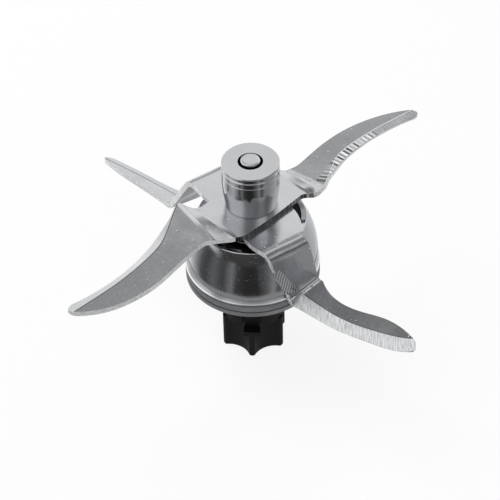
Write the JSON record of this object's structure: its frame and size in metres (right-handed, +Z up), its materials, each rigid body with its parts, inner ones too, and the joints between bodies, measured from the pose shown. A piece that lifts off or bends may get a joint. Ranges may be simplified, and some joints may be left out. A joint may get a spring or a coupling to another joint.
{
  "type": "food processor blade",
  "caption": "Cutter set of a heated food processor: folded steel blades under a turned knob, on a polished bearing housing with a black star drive coupling below",
  "frame": {"origin": "on the shaft axis at the flat lower end of the star coupling, where the part stands", "axes": "+Z up the shaft towards the knob; +X to the right and +Y away in the picture; the raised blades lie near the XY diagonal"},
  "size_m": [0.0988, 0.0828, 0.0683],
  "materials": {
    "blade_steel": "satin stamped sheet with ground edges",
    "polished_steel": "turned and mirror polished",
    "shaft_steel": "fine turned",
    "bearing_steel": "ground and polished",
    "zinc_steel": "bright zinc plate",
    "spring_steel": "dark phosphated",
    "black_plastic": "fine matt moulded glass-filled nylon",
    "cage_plastic": "natural nylon",
    "grey_rubber": "smooth grey seal",
    "black_rubber": "smooth black seal"
  },
  "bodies": {
    "housing": {"bearing_housing": "polished_steel", "flange_seal_ring": "grey_rubber", "shaft_lip_seal": "black_rubber", "seal_spring": "zinc_steel", "upper_bearing_outer_ring": "bearing_steel", "lower_bearing_outer_ring": "bearing_steel", "upper_bearing_top_shield": "bearing_steel", "upper_bearing_bottom_shield": "bearing_steel", "lower_bearing_top_shield": "bearing_steel", "lower_bearing_bottom_shield": "bearing_steel", "outer_spacer": "zinc_steel", "bearing_circlip": "spring_steel"},
    "rotor": {"drive_shaft": "shaft_steel", "top_cap": "polished_steel", "upper_blade_pair": "blade_steel", "lower_blade_pair": "blade_steel", "blade_collar": "shaft_steel", "upper_bearing_inner_ring": "bearing_steel", "lower_bearing_inner_ring": "bearing_steel", "inner_spacer": "zinc_steel", "drive_coupling": "black_plastic", "coupling_washer": "zinc_steel", "coupling_screw": "zinc_steel"},
    "upper_ball_set": {"upper_bearing_balls": "bearing_steel", "upper_bearing_cage": "cage_plastic"},
    "lower_ball_set": {"lower_bearing_balls": "bearing_steel", "lower_bearing_cage": "cage_plastic"}
  },
  "joints": [
    {"name": "blade_spin", "type": "hinge", "parent": "housing", "child": "rotor", "pos_m": [0, 0, 0.045], "axis": [0, 0, 1], "continuous": true},
    {"name": "upper_balls_roll", "type": "hinge", "parent": "housing", "child": "upper_ball_set", "pos_m": [0, 0, 0.035], "axis": [0, 0, 1], "continuous": true},
    {"name": "lower_balls_roll", "type": "hinge", "parent": "housing", "child": "lower_ball_set", "pos_m": [0, 0, 0.026], "axis": [0, 0, 1], "continuous": true}
  ],
  "couplings": [
    {"joint": "upper_balls_roll", "follows": "blade_spin", "ratio": 0.3677},
    {"joint": "lower_balls_roll", "follows": "blade_spin", "ratio": 0.3677}
  ]
}
